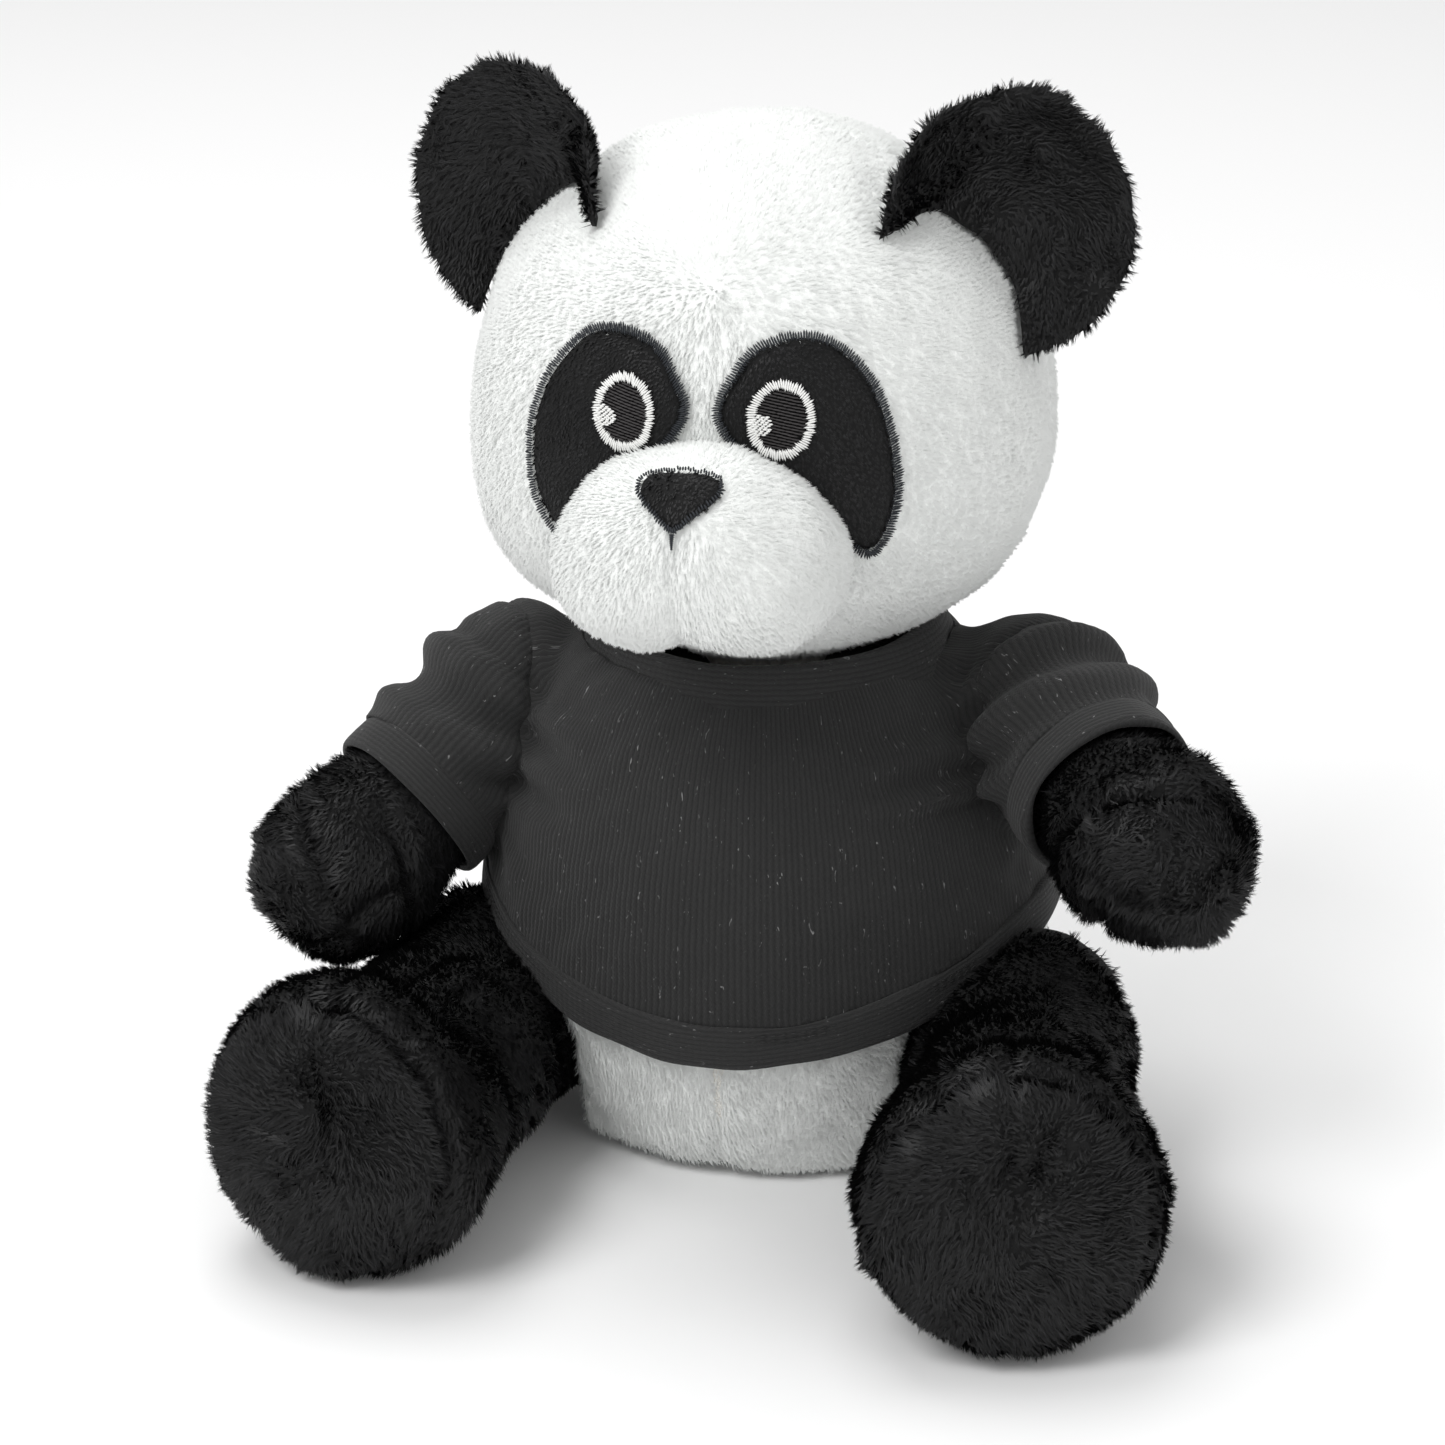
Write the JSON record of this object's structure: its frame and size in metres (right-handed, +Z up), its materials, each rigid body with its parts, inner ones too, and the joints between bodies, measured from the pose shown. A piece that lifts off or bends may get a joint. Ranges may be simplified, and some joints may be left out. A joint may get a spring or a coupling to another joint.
{
  "type": "plush panda",
  "caption": "Seated plush panda in a short-sleeved knitted T-shirt: round cupped ears, padded muzzle, embroidered eyes, stuffed arms and legs, flat seat.",
  "frame": {"origin": "centre of the seat, on the surface the toy sits on", "axes": "+Z up, the face looks along -Y, +X is the toy's own left side"},
  "size_m": [0.1983, 0.1716, 0.2135],
  "materials": {
    "white_plush": "short minky plush, pile about 2 mm, brushed",
    "black_plush": "short minky plush, pile about 2 to 3 mm, combed",
    "fibre_filling": "loose polyester fibre",
    "bag_cotton": "plain unbleached cotton",
    "plastic_beans": "small round plastic pellets",
    "satin_ribbon": "blank white satin ribbon",
    "shirt_rib": "charcoal knit, folded and topstitched",
    "shirt_jersey": "charcoal single-jersey knit with fuzz",
    "hook_and_loop": "woven hook-and-loop tape",
    "black_thread": "dense satin stitch in near-black thread",
    "white_thread": "dense satin stitch in white thread"
  },
  "bodies": {
    "torso": {"torso_base": "white_plush", "chest_yoke": "black_plush", "belly_left": "white_plush", "belly_right": "white_plush", "torso_back_left": "white_plush", "torso_back_right": "white_plush", "torso_stuffing": "fibre_filling", "bean_bag": "bag_cotton", "bean_fill": "plastic_beans", "tail": "white_plush", "care_label": "satin_ribbon", "hem_band": "shirt_rib", "shirt_front": "shirt_jersey", "shirt_back_right": "shirt_jersey", "closure_loop": "hook_and_loop", "closure_hook": "hook_and_loop", "shirt_back_left": "shirt_jersey", "collar_rib": "shirt_rib"},
    "neck": {"neck_stuffing": "fibre_filling"},
    "head": {"head_front": "white_plush", "head_back_left": "white_plush", "head_back_right": "white_plush", "head_stuffing": "fibre_filling", "muzzle_left": "white_plush", "muzzle_right": "white_plush", "muzzle_stuffing": "fibre_filling", "nose_patch": "black_plush", "nose_stitching": "black_thread", "eye_patch_left": "black_plush", "patch_border_left": "black_thread", "eye_ring_left": "white_thread", "iris_left": "black_thread", "highlight_left": "white_thread", "eye_patch_right": "black_plush", "patch_border_right": "black_thread", "eye_ring_right": "white_thread", "iris_right": "black_thread", "highlight_right": "white_thread"},
    "ear_left": {"ear_left_back": "black_plush", "ear_left_front": "black_plush"},
    "ear_right": {"ear_right_back": "black_plush", "ear_right_front": "black_plush"},
    "arm_left": {"arm_left_upper": "black_plush", "arm_left_under": "black_plush", "arm_left_stuffing": "fibre_filling", "sleeve_left": "shirt_jersey", "cuff_left": "shirt_rib"},
    "arm_right": {"arm_right_upper": "black_plush", "arm_right_under": "black_plush", "arm_right_stuffing": "fibre_filling", "sleeve_right": "shirt_jersey", "cuff_right": "shirt_rib"},
    "leg_left": {"leg_left_inner": "black_plush", "leg_left_outer": "black_plush", "foot_left_sole": "black_plush", "leg_left_stuffing": "fibre_filling"},
    "leg_right": {"leg_right_inner": "black_plush", "leg_right_outer": "black_plush", "foot_right_sole": "black_plush", "leg_right_stuffing": "fibre_filling"}
  },
  "joints": [
    {"name": "neck_turn", "type": "hinge", "parent": "torso", "child": "neck", "pos_m": [0, -0.0015, 0.099], "axis": [0, 0, 1], "range_deg": [-30, 30], "stiffness_Nm_per_rad": 0.12},
    {"name": "neck_nod", "type": "hinge", "parent": "neck", "child": "head", "pos_m": [0, -0.0015, 0.099], "axis": [1, 0, 0], "range_deg": [-6, 6], "stiffness_Nm_per_rad": 0.35},
    {"name": "ear_left_fold", "type": "hinge", "parent": "head", "child": "ear_left", "pos_m": [0.04135, -0.00818, 0.1815], "axis": [0.6176, 0.2495, -0.7459], "range_deg": [-12, 12], "stiffness_Nm_per_rad": 0.012},
    {"name": "ear_right_fold", "type": "hinge", "parent": "head", "child": "ear_right", "pos_m": [-0.03726, -0.00816, 0.18311], "axis": [0.6682, -0.2975, 0.6819], "range_deg": [-12, 12], "stiffness_Nm_per_rad": 0.012},
    {"name": "arm_left_raise", "type": "hinge", "parent": "torso", "child": "arm_left", "pos_m": [0.0525, -0.001, 0.086], "axis": [-0.809, -0.5878, 0], "range_deg": [-18, 45], "stiffness_Nm_per_rad": 0.06, "springref_deg": 1.43},
    {"name": "arm_right_raise", "type": "hinge", "parent": "torso", "child": "arm_right", "pos_m": [-0.05, -0.001, 0.083], "axis": [-0.7314, 0.682, 0], "range_deg": [-1, 60], "stiffness_Nm_per_rad": 0.06, "springref_deg": 1.43},
    {"name": "leg_left_swing", "type": "hinge", "parent": "torso", "child": "leg_left", "pos_m": [0.0495, -0.019, 0.0215], "axis": [1, 0, 0], "range_deg": [0, 40], "stiffness_Nm_per_rad": 0.08},
    {"name": "leg_right_swing", "type": "hinge", "parent": "torso", "child": "leg_right", "pos_m": [-0.0465, -0.014, 0.0215], "axis": [1, 0, 0], "range_deg": [0, 40], "stiffness_Nm_per_rad": 0.08}
  ]
}
